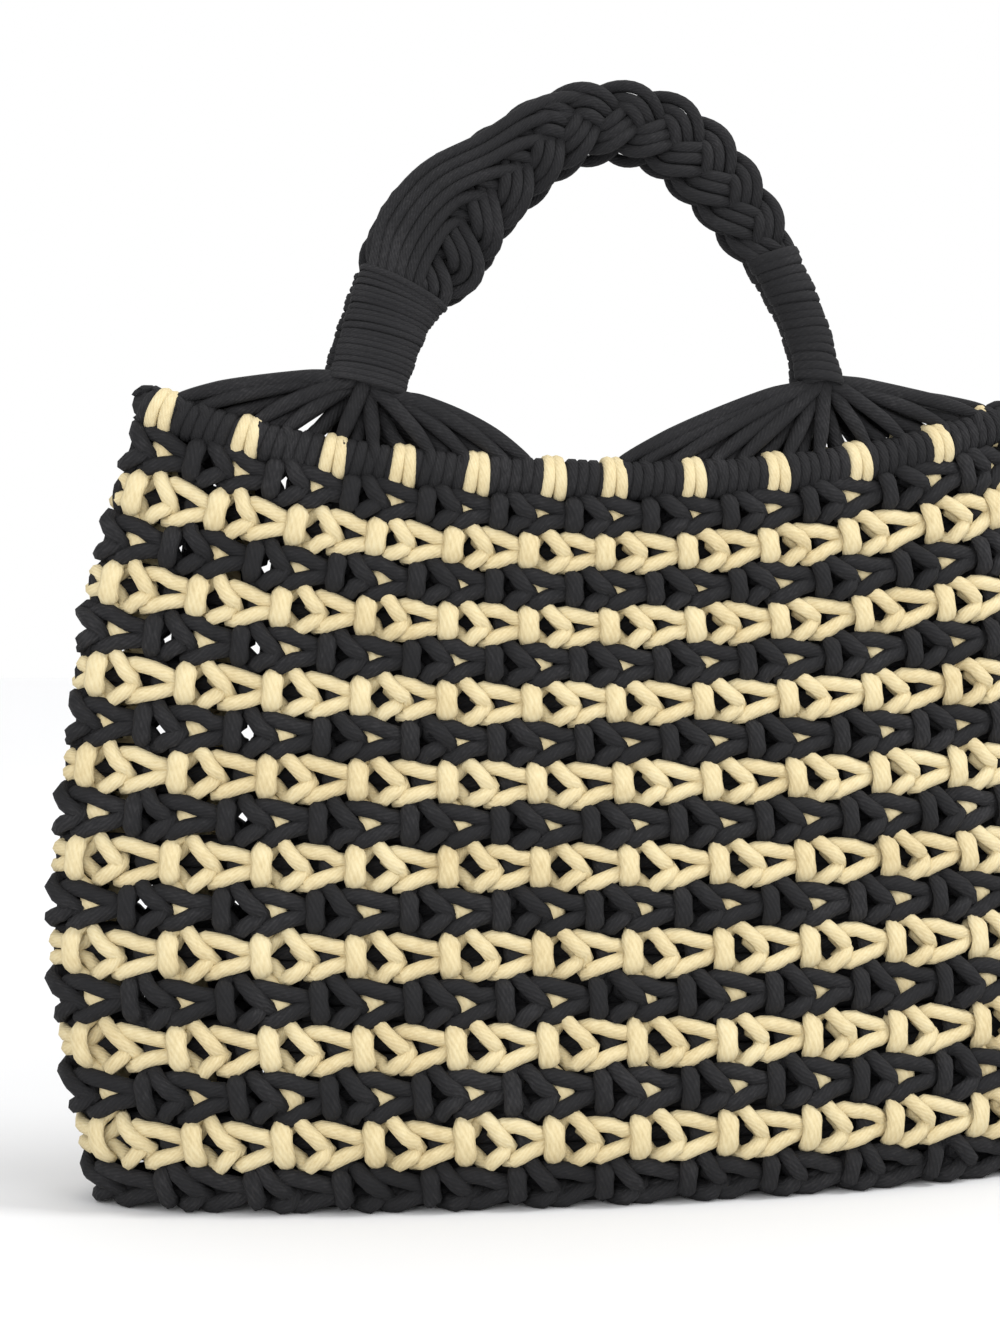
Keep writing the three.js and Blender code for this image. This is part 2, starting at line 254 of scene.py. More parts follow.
def thread_map(paths, girth, sides, closed):
    """UV places: u is the share of the way round, v the distance along in girths, from a random start."""
    count = len(paths)
    step = np.linalg.norm(np.diff(paths, axis=1), axis=2)
    along = np.concatenate([np.zeros((count, 1)), np.cumsum(step, axis=1)], axis=1)
    if closed:
        last = np.linalg.norm(paths[:, 0] - paths[:, -1], axis=1, keepdims=True)
        along = np.concatenate([along, along[:, -1:] + last], axis=1)
    v = (along / girth + rng.random((count, 1)))[:, :, None]
    u_here = np.arange(sides) / sides
    u_next = u_here + 1 / sides
    v_here = v[:, :-1]
    v_next = v[:, 1:]
    corners = (u_here, v_here, u_next, v_here, u_next, v_next, u_here, v_next)
    uv = np.stack(np.broadcast_arrays(*corners), axis=-1).reshape(-1, 2)
    if closed:
        return uv
    end = np.stack([u_here, u_here * 0], axis=-1)
    return np.concatenate([uv, np.tile(end, (2 * count, 1))])


# %% From arrays to a mesh
def new_object(name, data):
    """An object that shows the data, in the scene."""
    thing = bpy.data.objects.new(name, data)
    bpy.context.scene.collection.objects.link(thing)
    return thing


def mesh_piece(name, points, face_lists, uv=None):
    """Puts points and lists of faces into a mesh. Each list holds faces of one length."""
    loops = np.concatenate([faces.ravel() for faces in face_lists]).astype(np.int32)
    totals = np.concatenate([np.full(len(faces), faces.shape[1]) for faces in face_lists]).astype(np.int32)
    starts = np.concatenate([[0], np.cumsum(totals)[:-1]]).astype(np.int32)
    mesh = bpy.data.meshes.new(name)
    mesh.vertices.add(len(points))
    mesh.vertices.foreach_set("co", np.asarray(points, np.float32).ravel())
    mesh.loops.add(len(loops))
    mesh.loops.foreach_set("vertex_index", loops)
    mesh.polygons.add(len(totals))
    mesh.polygons.foreach_set("loop_start", starts)
    mesh.polygons.foreach_set("use_smooth", np.ones(len(totals), bool))
    if uv is not None:
        layer = mesh.uv_layers.new(name="thread")
        layer.data.foreach_set("uv", np.asarray(uv, np.float32).ravel())
    mesh.update()
    mesh.validate()
    return new_object(name, mesh)


def cords(name, paths, ups, half_across, half_deep, sides=8, closed=False):
    """One mesh of many cords. Paths and ups are arrays of cords x stations x 3."""
    paths = np.asarray(paths, float)
    count, stations, _ = paths.shape
    wide = np.broadcast_to(half_across, (count, stations))
    thick = np.broadcast_to(half_deep, (count, stations))
    points = rings(paths, ups, wide, thick, sides, closed).reshape(-1, 3)
    uv = thread_map(paths, 2 * np.pi * float(np.mean(wide)), sides, closed)
    return mesh_piece(name, points, tube_faces(count, stations, sides, closed), uv)


# %% [markdown]
# ## Cotton
#
# The cord is soft unbleached cotton, dyed black or left cream. Seen close, fine threads wind round it, and
# loose fibres catch the light. The colour drifts a little from place to place, as hand-dyed cotton does.
# Photographs of cotton could be laid on it, but nodes give it at any size and without a seam: three tones
# are mixed by two noises and the thread wave, and a bump from the UV map raises the threads. The thread
# wave's share of the tone darkens the grooves between the threads: painted shade.

# %% Helpers for materials
def maths(tree, operation, *values):
    """A maths node. Each value is a number or the output of another node."""
    node = tree.nodes.new("ShaderNodeMath")
    node.operation = operation
    for socket, value in zip(node.inputs, values):
        if isinstance(value, (int, float)):
            socket.default_value = value
        else:
            tree.links.new(value, socket)
    return node.outputs[0]


def weighted_sum(tree, *terms):
    """The sum of the terms. Each is an output and its weight."""
    total = 0
    for output, weight in terms:
        total = maths(tree, "ADD", total, maths(tree, "MULTIPLY", output, weight))
    return total


def noise(tree, place, scale, detail, roughness=0.5):
    """Cloudy noise from 0 to 1 at the place."""
    node = tree.nodes.new("ShaderNodeTexNoise")
    node.inputs["Scale"].default_value = scale
    node.inputs["Detail"].default_value = detail
    node.inputs["Roughness"].default_value = roughness
    tree.links.new(place, node.inputs["Vector"])
    return node.outputs[0]


def colour_ramp(tree, share, stops):
    """Colours from stops, each a place from 0 to 1 with its colour, blended between."""
    node = tree.nodes.new("ShaderNodeValToRGB")
    elements = node.color_ramp.elements
    elements[0].position = stops[0][0]
    elements[1].position = stops[-1][0]
    for place, _ in stops[1:-1]:
        elements.new(place)
    for element, (_, colour) in zip(elements, stops):
        element.color = (*colour, 1)
    tree.links.new(share, node.inputs[0])
    return node.outputs[0]


def matt_material(name, roughness, specular):
    """A new material, its tree and its shader, with the two sockets that every finish here sets."""
    material = bpy.data.materials.new(name)
    material.use_nodes = True
    shader = material.node_tree.nodes["Principled BSDF"]
    shader.inputs["Roughness"].default_value = roughness
    shader.inputs["Specular IOR Level"].default_value = specular
    return material, material.node_tree, shader


# %% The cotton material
THREAD_TURNS = 1.2
FIBRE_STRETCH = (17, 7, 1)
BUMP_DEPTH = 0.8 * MM
TONE_PLACES = (0.36, 0.55, 0.74)


def cotton(name, tones, sheen, threads=11.0, relief=0.17):
    """Cotton cord in three tones, dark to light.

    A thread is a sine of the way round plus the way along. Fibres are a noise stretched along the cord, and
    the drift is a slow noise in space. Their weighted sum picks the tone, and threads and fibres the height.
    So the tone is darker in the grooves between the threads: painted shade, besides the bump.
    """
    material, tree, shader = matt_material(name, roughness=0.92, specular=0.18)
    shader.inputs["Sheen Weight"].default_value = sheen
    shader.inputs["Sheen Roughness"].default_value = 0.55
    shader.inputs["Sheen Tint"].default_value = (*tones[2], 1)

    place = tree.nodes.new("ShaderNodeTexCoord")
    parted = tree.nodes.new("ShaderNodeSeparateXYZ")
    tree.links.new(place.outputs["UV"], parted.inputs[0])
    round_cord = maths(tree, "MULTIPLY", parted.outputs[0], threads)
    along_cord = maths(tree, "MULTIPLY", parted.outputs[1], THREAD_TURNS * threads / 2)
    lay = maths(tree, "MULTIPLY", maths(tree, "ADD", round_cord, along_cord), 2 * np.pi)
    thread = maths(tree, "MULTIPLY_ADD", maths(tree, "SINE", lay), 0.5, 0.5)

    stretched = tree.nodes.new("ShaderNodeMapping")
    stretched.inputs["Scale"].default_value = FIBRE_STRETCH
    tree.links.new(place.outputs["UV"], stretched.inputs["Vector"])
    fibres = noise(tree, stretched.outputs[0], scale=1.0, detail=5, roughness=0.65)
    drift = noise(tree, place.outputs["Object"], scale=38, detail=3)

    # The thread's share of the tone is painted shade in the grooves between the threads; fibres and drift
    # vary the tone at random.
    tone = weighted_sum(tree, (thread, 0.07), (fibres, 0.56), (drift, 0.42))
    tree.links.new(colour_ramp(tree, tone, list(zip(TONE_PLACES, tones))), shader.inputs["Base Color"])

    height = weighted_sum(tree, (thread, 0.6), (fibres, 0.7))
    bump = tree.nodes.new("ShaderNodeBump")
    bump.inputs["Strength"].default_value = relief
    bump.inputs["Distance"].default_value = BUMP_DEPTH
    tree.links.new(height, bump.inputs["Height"])
    tree.links.new(bump.outputs[0], shader.inputs["Normal"])
    return material


# %% Black, cream and thin black cord
BLACK_TONES = [(0.01, 0.01, 0.0108), (0.0138, 0.0137, 0.0148), (0.0305, 0.0298, 0.0314)]
CREAM_TONES = [(0.46, 0.367, 0.2), (0.56, 0.471, 0.281), (0.62, 0.545, 0.352)]
black_cotton = cotton("black_cotton_cord", BLACK_TONES, sheen=0.25, relief=0.42)
cream_cotton = cotton("cream_cotton_cord", CREAM_TONES, sheen=0.15, relief=0.24)
thin_black = cotton("thin_black_cord", BLACK_TONES, sheen=0.25, threads=7.0)
COTTON = {"black": black_cotton, "cream": cream_cotton}


def dress(piece, material, slot, *nodes):
    """Gives a piece its cotton, ties it to the bag, and lets it stand for the solids that it covers."""
    piece.data.materials.append(material)
    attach(piece, "root")
    if nodes:
        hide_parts(*nodes)
    return piece


print("finishes:", black_cotton.name, cream_cotton.name, thin_black.name)

# %% [markdown]
# ## The rows of knots
#
# In each row two strands run round the bag. Right of each knot they part round a diamond gap, cross, and
# close on a small triangle before the next knot binds them. Rope could be simulated into a knot, but that
# takes long and seldom lands where it should. So one knot is drawn on a flat strip: the first number
# is the share of the way to the next knot, then come the height and the distance out of the wall, in
# millimetres. The knot is repeated round the bag with small random slips, as hands tie it.

# %% One knot on the flat strip
OVER_STRAND = [
    (0.0, 1.4, -0.6),
    (0.08, 3.4, -2.2),
    (0.165, 6.3, -3.0),
    (0.23, 7.9, -0.4),
    (0.285, 6.4, 2.6),
    (0.375, 3.4, 3.9),
    (0.465, 0.5, 3.3),
    (0.53, -2.0, 0.2),
    (0.47, -5.8, -1.6),
    (0.5, -7.3, 0.4),
    (0.58, -6.0, 1.7),
    (0.7, -4.5, 1.9),
    (0.84, -3.0, 1.5),
    (0.93, -2.2, 0.8),
]
UNDER_STRAND = [
    (0.0, -1.5, -0.8),
    (0.09, -3.6, -2.2),
    (0.18, -6.4, -2.6),
    (0.245, -7.9, -0.2),
    (0.305, -6.5, 2.3),
    (0.385, -4.7, 3.2),
    (0.465, -3.0, 2.5),
    (0.51, -0.8, -0.6),
    (0.42, 2.0, -2.6),
    (0.375, 3.9, -1.0),
    (0.45, 5.6, 1.0),
    (0.57, 5.3, 2.1),
    (0.7, 4.3, 2.0),
    (0.84, 3.0, 1.5),
    (0.93, 2.1, 0.8),
]

# %% How the colours differ
# The points above lie between TABLE_SHARES of the way to the next knot. Each colour moves those shares to
# its own, and the black rows are tied closer.
TABLE_SHARES = (0, 0.24, 0.38, 0.47, 0.57, 0.7, 0.84, 0.93, 1)
SHARES = {
    "cream": (0, 0.215, 0.345, 0.43, 0.53, 0.65, 0.79, 0.9, 1),
    "black": (0, 0.16, 0.27, 0.37, 0.5, 0.61, 0.72, 0.86, 1),
}
CORD = {"cream": 5.5 * MM, "black": 5.9 * MM}
FIRST_COLUMN = 0.23
BLACK_AFTER_CREAM = 0.58
COLUMN = {"cream": FIRST_COLUMN, "black": FIRST_COLUMN + BLACK_AFTER_CREAM}
print("black columns stand", BLACK_AFTER_CREAM, "of a knot after the cream ones")

# %% The two strands of a row
STATIONS_PER_KNOT = 16
SLIP_OF_POINTS = (0.01, 0.3, 0.2)
SLIP_OF_KNOTS = (0.02, 0.35, 0.2)


def round_the_bag(table, count):
    """A smooth closed path through the points of a whole lap.

    The steady advance is taken off, Catmull and Rom's cubic runs through what is left, and the advance is
    put back.
    """
    points = np.array(table, float)
    total = len(points)
    points[:, 0] -= np.arange(total) / total * KNOTS_ROUND
    at = np.arange(count) / count * total
    i = np.floor(at).astype(int)
    s = (at - i)[:, None]
    before, start, end, after = (points[(i + k) % total] for k in (-1, 0, 1, 2))
    path = 0.5 * (
        2 * start
        + (end - before) * s
        + (2 * before - 5 * start + 4 * end - after) * s**2
        + (3 * start - before - 3 * end + after) * s**3
    )
    path[:, 0] += at / total * KNOTS_ROUND
    return path


def row_strands(offset, wobble, shares):
    """Both strands of one row on the flat strip: knots passed, height and distance out."""
    strands = []
    for table in (OVER_STRAND, UNDER_STRAND):
        knot = np.array(table)
        knot[:, 0] = np.interp(knot[:, 0], TABLE_SHARES, shares)
        lap = np.tile(knot, (KNOTS_ROUND, 1, 1))
        lap[:, :, 0] += np.arange(KNOTS_ROUND)[:, None] + offset
        lap += rng.normal(0, 1, lap.shape) * SLIP_OF_POINTS * wobble
        lap += rng.normal(0, 1, (KNOTS_ROUND, 1, 3)) * SLIP_OF_KNOTS * wobble
        strands.append(round_the_bag(lap.reshape(-1, 3), KNOTS_ROUND * STATIONS_PER_KNOT))
    return np.stack(strands) * (1, MM, MM)


# %% From the flat strip to the bag
FOLD_ROOM = 12 * MM


def on_row(number, flat, lowest):
    """Bends a flat strip round the bag at the row of that number, no lower than the lowest height.

    A cord that lay inside the wall would turn back on itself at a sharp fold, so it may lie no further in
    than a room that grows with the knots between it and the nearest fold.
    """
    height = (number - 0.5) / ROWS + flat[..., 1] / rows_height
    from_fold = np.abs(np.mod(flat[..., 0] + FACE_KNOTS / 2, FACE_KNOTS) - FACE_KNOTS / 2)
    out = np.maximum(flat[..., 2], -from_fold * FOLD_ROOM)
    turn = turn_at(flat[..., 0], height)
    outward = outwards(height, turn)
    points = outline_point(height, turn) + outward * out[..., None]
    points[..., 2] = np.maximum(points[..., 2], lowest)
    return points, outward


# %% All rows, from the floor up
FLATTENED = 0.46
rows_made = []
for number in range(1, ROWS + 1):
    colour = "black" if number % 2 == 1 else "cream"
    thick = CORD[colour]
    flat = row_strands(COLUMN[colour], 1.0, SHARES[colour])
    paths, ups = on_row(number, flat, thick / 2)
    piece = cords(f"knots_{number:02d}", paths, ups, thick / 2, thick * FLATTENED, sides=7, closed=True)
    dress(piece, COTTON[colour], f"{colour}_cord", row_names[number - 1])
    rows_made.append(piece)
print(len(rows_made), "rows of knots,", sum(len(piece.data.polygons) for piece in rows_made), "faces")

# %% [markdown]
# ## The cords that climb
#
# From knot to knot, a cord of each colour climbs the wall. It lies flat over the rows of its own colour, as
# the upright band that closes each knot, and behind the rows of the other colour, where it shows through the
# triangles. Short bands alone would look the same from the front, but a whole cord is right from the inside
# too. The strip's third number is again the distance out, and a fourth gives half the breadth.

# %% Uprights of one colour
CLIMB = [
    (0.0, -7.2, 0.0, 2.4),
    (0.0, -4.6, 3.7, 3.4),
    (0.0, 0.0, 4.7, 3.0),
    (0.0, 4.6, 3.7, 3.4),
    (0.02, 7.2, 0.0, 2.4),
    (0.13, 11.5, -1.2, 3.2),
    (0.15, 16.0, 0.0, 4.0),
    (0.1, 20.5, -1.2, 3.0),
]
POINTS_BEHIND = 3
STATIONS_PER_ROW = 9
UPRIGHT_DEEP = 1.9 * MM
UPRIGHT_LOWEST = 4.2 * MM
UPRIGHT_SLIP = 0.015
CREAM_BROADER = 1.14


def uprights(name, first_row, last_row, offset, broad=1.0):
    """Cords that climb in pairs of rows, over the first and behind the second, 'broad' times as wide."""
    pairs = (last_row - first_row) // 2 + 1
    table = np.tile(np.asarray(CLIMB), (pairs, 1, 1))
    table[:, :, 1] += np.arange(pairs)[:, None] * 2 * row_height / MM
    table = table.reshape(-1, 4)
    if last_row == ROWS:
        table = table[:-POINTS_BEHIND]
    at = np.linspace(0, 1, pairs * 2 * STATIONS_PER_ROW)
    path = curve_through(np.linspace(0, 1, len(table)), table, at)
    flat = np.tile(path[None, :, :3], (KNOTS_ROUND, 1, 1)) * (1, MM, MM)
    flat[..., 0] += np.arange(KNOTS_ROUND)[:, None] + offset
    flat[..., 0] += rng.normal(0, UPRIGHT_SLIP, (KNOTS_ROUND, 1))
    points, ups = on_row(first_row, flat, UPRIGHT_LOWEST)
    return cords(name, points, ups, path[None, :, 3] * broad * MM, UPRIGHT_DEEP)


black_uprights = uprights("black_uprights", 1, ROWS, COLUMN["black"])
dress(black_uprights, black_cotton, "black_cord")
cream_uprights = uprights("cream_uprights", 2, ROWS - 1, COLUMN["cream"], CREAM_BROADER)
dress(cream_uprights, cream_cotton, "cream_cord")
print(2 * KNOTS_ROUND, "cords climb the wall")

# %% [markdown]
# ## Cords carried along the inside
#
# Through the gaps of the photograph's bag one sees black, and seldom daylight. So black cords are carried
# along the inside, three side by side behind each row. Beside the left fold those behind the black rows are
# left out, because there the photograph shows spots of light.

# %% Three flat cords behind each row
CARRIED_IN = 6.4 * MM
CARRIED_HEIGHTS = (-5.3, 0.0, 5.3)
CARRIED_HALF = 2.9 * MM
CARRIED_DEEP = 1.4 * MM
CARRIED_LOWEST = 3.2 * MM
CARRIED_WAVES = 5
WAVE_HEIGHT = 0.5
OPEN_FROM = 9.6
OPEN_TO = 14.6


def carried_cords(name, numbers, first, last, closed):
    """Cords side by side on the inside of each row: a steady height, plus a slow sine of the way round."""
    count = KNOTS_ROUND * 6
    knots = np.linspace(first, last, count, endpoint=not closed)
    paths = []
    ups = []
    for number in numbers:
        for height in CARRIED_HEIGHTS:
            wave = WAVE_HEIGHT * np.sin(2 * np.pi * (knots * CARRIED_WAVES / KNOTS_ROUND + rng.random()))
            flat = np.stack([knots, (height + wave) * MM, np.full(count, -CARRIED_IN)], axis=-1)
            points, out = on_row(number, flat, CARRIED_LOWEST)
            paths.append(points)
            ups.append(out)
    return cords(name, np.stack(paths), np.stack(ups), CARRIED_HALF, CARRIED_DEEP, sides=6, closed=closed)


cream_rows = range(2, ROWS, 2)
black_rows = range(1, ROWS + 1, 2)
behind_cream = carried_cords("carried_behind_cream", cream_rows, 0, KNOTS_ROUND, True)
dress(behind_cream, black_cotton, "black_cord")
behind_black = carried_cords("carried_behind_black", black_rows, OPEN_TO, KNOTS_ROUND + OPEN_FROM, False)
dress(behind_black, black_cotton, "black_cord")
print(len(CARRIED_HEIGHTS) * ROWS, "cords carried inside")

# %% [markdown]
# ## The base
#
# The photograph doesn't show the bottom. It is made in the plainest way: the same knots in black, in three
# rings that lie flat on the floor and close on a line.

# %% Rings of knots that close the base
BASE_RINGS = 3
RING_OVER_WALL = 2 * MM
RING_PITCH = 0.9
BASE_HEIGHT = 5 * MM
BASE_FLATTER = 0.5
BASE_DEEP = 0.44
NARROWEST = 0.1 * MM
BASE_WOBBLE = 0.6


def on_base(ring, flat):
    """Lays a flat strip on the floor, ring by ring inwards from the foot of the wall.

    The strip's height becomes the way inwards, taken off both half axes of an ellipse, and its distance out
    becomes a small height.
    """
    inwards = (ring + 0.5) * row_height * RING_PITCH - RING_OVER_WALL - flat[..., 1]
    turn = turn_at(flat[..., 0])
    half_width = bag_width / 2 * LEVELS["width"][0] - MIDDLE_IN
    half_depth = bag_depth / 2 * LEVELS["depth"][0] - MIDDLE_IN
    x = (half_width - inwards) * np.cos(turn)
    y = np.maximum(half_depth - inwards, NARROWEST) * np.sin(turn)
    return np.stack([x, y, BASE_HEIGHT + flat[..., 2] * BASE_FLATTER], axis=-1)


ring_strands = [row_strands(ring * 0.5, BASE_WOBBLE, SHARES["cream"]) for ring in range(BASE_RINGS)]
base_paths = np.concatenate([on_base(ring, flat) for ring, flat in enumerate(ring_strands)])
down = np.array([0, 0, -1.0])
base = cords("base_knots", base_paths, down, CORD["black"] / 2, CORD["black"] * BASE_DEEP, closed=True)
dress(base, black_cotton, "black_cord", "base_panel")
print("base of", BASE_RINGS, "rings,", len(base.data.polygons), "faces")

# %% [markdown]
# ## The rim
#
# The top edge is a roll, wrapped in black cord turn beside turn. Separate rings would be simpler, but the
# real wrapping is one cord, and a spiral shows its slant: the cord goes round the roll while it creeps along
# the mouth. A plain round core lies inside, so that no light falls between the turns.

# %% The line of the roll
RIM_ROUND = 15 * MM
RIM_IN = 2 * MM
RIM_SINK = 1.0
RIM_SINK_MORE = 2.2
NEARBY = 0.02


def rim_centre(turn):
    """The roll sits on the top row, and sinks a little further between the middle and the folds.

    With s for the share of the half width, it sinks by 1 mm, and by 2.2 mm more times 4 s2 (1 - s2).
    """
    line = outline_point(1.0, turn) - outwards(1.0, turn) * RIM_IN
    share = np.clip(np.abs(line[..., 0]) / (bag_width / 2 * LEVELS["width"][-1]), 0, 1) ** 2
    line[..., 2] += RIM_ROUND / 2 - (RIM_SINK + RIM_SINK_MORE * 4 * share * (1 - share)) * MM
    return line


rim_passed = way_along(rim_centre(fine_turns))
rim_length = rim_passed[-1]


def rim_frame(distance):
    """The roll's centre, and the directions out of the bag and up, at a distance round the mouth."""
    turn = np.interp(distance % rim_length, rim_passed, fine_turns)
    along = unit(rim_centre(turn + NEARBY) - rim_centre(turn - NEARBY))
    out = unit(np.cross(along, [0, 0, 1.0]))
    return rim_centre(turn), out, np.cross(out, along)


print("the rim is", round(rim_length, 3), "m round")

# %% The wrapped roll
TURN_PITCH = 3.9 * MM
STATIONS_PER_TURN = 14
WRAP_TURNS = round(rim_length / TURN_PITCH)
WRAP_HALF = TURN_PITCH * 0.62
WRAP_DEEP = 1.5 * MM
CORE_HALF = 5.5 * MM
CORE_STATIONS = 240
PRESSED = {"most": 1.0 * MM, "middle": 0, "reach": 3.6 * MM, "power": 4}
UNEVEN_ROLL = ((0.2 * MM, 41, 0), (0.15 * MM, 97, 1))
MARKS_FROM_FOLD = np.array([0.33, 1.42, 2.52, 3.4, 4.35, 5.34, 6.14, 7.2, 8.36, 9.54, 10.77])
mark_knots = np.concatenate([MARKS_FROM_FOLD, MARKS_FROM_FOLD + FACE_KNOTS])
mark_places = np.interp(turn_at(mark_knots), fine_turns, rim_passed)


def spiral_on_rim():
    """Angle and distance grow together.

    The radius is uneven by two slow sines, and the cord is pressed in a little under each cream mark.
    """
    count = WRAP_TURNS * STATIONS_PER_TURN
    share = np.arange(count) / count
    distance = share * rim_length
    angle = 2 * np.pi * WRAP_TURNS * share
    centre, out, up = rim_frame(distance)
    off = np.abs(distance[:, None] - mark_places) % rim_length
    off = np.minimum(off, rim_length - off).min(axis=1)
    slow = sum(most * np.sin(share * 2 * np.pi * waves + start) for most, waves, start in UNEVEN_ROLL)
    radius = RIM_ROUND / 2 - WRAP_DEEP - bell(off, **PRESSED) + slow
    away = out * np.cos(angle)[:, None] + up * np.sin(angle)[:, None]
    return (centre + away * radius[:, None])[None], away[None]


paths, ups = spiral_on_rim()
rim = cords("rim_wrapping", paths, ups, WRAP_HALF, WRAP_DEEP, sides=6, closed=True)
dress(rim, black_cotton, "black_cord", "rim_roll")
core_line, _, core_up = rim_frame(np.arange(CORE_STATIONS) / CORE_STATIONS * rim_length)
core = cords("rim_core", core_line[None], core_up[None], CORE_HALF, CORE_HALF, sides=12, closed=True)
dress(core, black_cotton, "black_cord")
print(WRAP_TURNS, "turns of cord round the rim")

# %% [markdown]
# ## Cream cords over the rim
#
# At each column the cream cord comes up, goes over the roll in a pair, and ties the wall to it. They are
# open arcs whose ends hide in the top row, because nothing is seen of them there.

# %% Cream cords looped over the rim
LOOP_HALF = 2.4 * MM
LOOP_DEEP = 2.0 * MM
LOOP_SUNK = 0.9 * MM
LOOP_ANGLES = np.radians(np.linspace(-112, 215, 22))
NEAR_ON_TOP = 1.6
APART_BELOW = 0.9


def rim_loops():
    """Two cords over the rim at each column: an arc round the roll, further apart below than on top."""
    side = np.array([-1, 1.0])
    spread = (NEAR_ON_TOP + APART_BELOW * (1 - np.sin(LOOP_ANGLES)) / 2) * MM
    distance = mark_places[:, None, None] + side[:, None] * spread
    centre, out, up = rim_frame(distance.reshape(-1))
    turned = np.broadcast_to(LOOP_ANGLES, distance.shape).reshape(-1)
    away = out * np.cos(turned)[:, None] + up * np.sin(turned)[:, None]
    points = centre + away * (RIM_ROUND / 2 - LOOP_SUNK)
    shape = (len(mark_places) * 2, len(LOOP_ANGLES), 3)
    return points.reshape(shape), away.reshape(shape)


paths, ups = rim_loops()
marks = cords("rim_cream_loops", paths, ups, LOOP_HALF, LOOP_DEEP)
dress(marks, cream_cotton, "cream_cord")
print(len(mark_places), "pairs of cream cords over the rim")

# %% [markdown]
# ## The handles
#
# A handle leaves the rim on a fan of cords, is bound with thin cord, and rises as a flat braid, wide on the
# left and slim on the right. All of it follows one line. A short table holds the places, from foot to foot,
# with the rise and the width there as shares of the handle's own sizes, and the front and the back handle
# lean together above the mouth.

# %% The line of a handle
HANDLE_ROUTE = {
    "across": [-1.01, -0.88, -0.75, -0.61, -0.42, -0.15, 0.12, 0.38, 0.625, 0.815, 0.95, 1.02],
    "rise": [0.0, 0.31, 0.49, 0.65, 0.79, 0.965, 1.015, 0.945, 0.745, 0.505, 0.27, 0.0],
    "width": [0.64, 0.72, 0.93, 0.92, 0.71, 0.58, 0.58, 0.62, 0.59, 0.46, 0.41, 0.42],
}
HANDLE_RISE = 98 * MM
HANDLE_LEAN = 8.5 * MM
LEANS_EARLY = 0.35
HANDLE_WIDTH = 44 * MM
FAN_HEIGHT = 17.5 * MM
BACK_ASIDE = 3 * MM
BACK_ASIDE_MORE = 1.2
FEET_IN = (13 + 68) * MM
LINE_POINTS = 600
half_span = bag_width / 2 * LEVELS["width"][-1] - FEET_IN
rim_half_width = rim_centre(0.0)[0]


def rim_at(x, face):
    """The rim's centre line at a place across the front, where face is -1, or the back, where it is 1."""
    turn = np.arccos(np.clip(x / rim_half_width, -1, 1))
    return rim_centre(turn * face)


feet_height = rim_at(-half_span, -1)[2] + RIM_ROUND / 2 + FAN_HEIGHT


def handle_line(face):
    """A dense line through the route, with its width and the distance along it.

    It starts over the rim and comes in towards the middle of the bag with the rise, raised to a power below
    one, so that most of the way in lies low.
    """
    across = np.array(HANDLE_ROUTE["across"])
    rise = np.array(HANDLE_ROUTE["rise"])
    x = across * half_span + BACK_ASIDE * (BACK_ASIDE_MORE + across) * (face > 0)
    foot = np.abs(rim_at(x, face)[:, 1])
    y = face * (foot + (HANDLE_LEAN - foot) * rise**LEANS_EARLY)
    points = np.stack([x, y, feet_height + rise * HANDLE_RISE], axis=-1)
    places = way_along(points)
    at = np.linspace(0, places[-1], LINE_POINTS)
    line = curve_through(places, points, at)
    width = curve_through(places, HANDLE_ROUTE["width"], at) * HANDLE_WIDTH
    return line, width, way_along(line)


def stations(handle, distance):
    """Centre, the directions across and out of the braid, and the width of a handle at distances along it."""
    line, width, passed = handle
    tangents = unit(np.gradient(line, axis=0))
    centre, along = (
        np.stack([np.interp(distance, passed, column) for column in table.T], axis=-1)
        for table in (line, tangents)
    )
    across = unit(np.cross([0, 1.0, 0], along))
    return centre, across, np.cross(along, across), np.interp(distance, passed, width)


def from_foot(handle, end, distance):
    """A distance from the left or the right foot, as the distance along the whole handle."""
    return distance if end == "left" else handle[2][-1] - distance


handles = {"front": handle_line(-1), "back": handle_line(1)}
print("the front handle is", round(handles["front"][2][-1], 3), "m long from foot to foot")

# %% [markdown]
# ## The braid
#
# Three strands, each of three cords side by side, are plaited flat. A strand swings from side to side and
# rises and sinks twice as often, so it passes over one neighbour and under the other. That is the whole
# braid, and a sine does it. The cords of a strand lie square to the strand's own way, not to the handle's.

# %% Three strands of three cords
CORDS_IN_STRAND = 3
BRAID_CORD = 4.5 * MM
BRAID_DEEP = 13 * MM
BRAID_STEP = 1.5 * MM
INTO_BINDING = 7 * MM
GATHERED = {"most": 0.28, "middle": 0, "reach": 9 * MM}
SWINGS_WIDER = 1.2 * MM
TURNS_WITH = 0.62
OVERLAP = 0.92
LIFT_LESS = 0.75
SLACK = 0.5 * MM
SLACK_WAVES = 0.7
PITCH_PLACES = [0.0, 0.3, 0.5, 1.0]
PITCHES = [46 * MM, 50 * MM, 46 * MM, 45 * MM]
BINDING_FROM = {"left": 0.5 * MM, "right": 5 * MM}
BINDING_TO = {"left": 41 * MM, "right": 56 * MM}


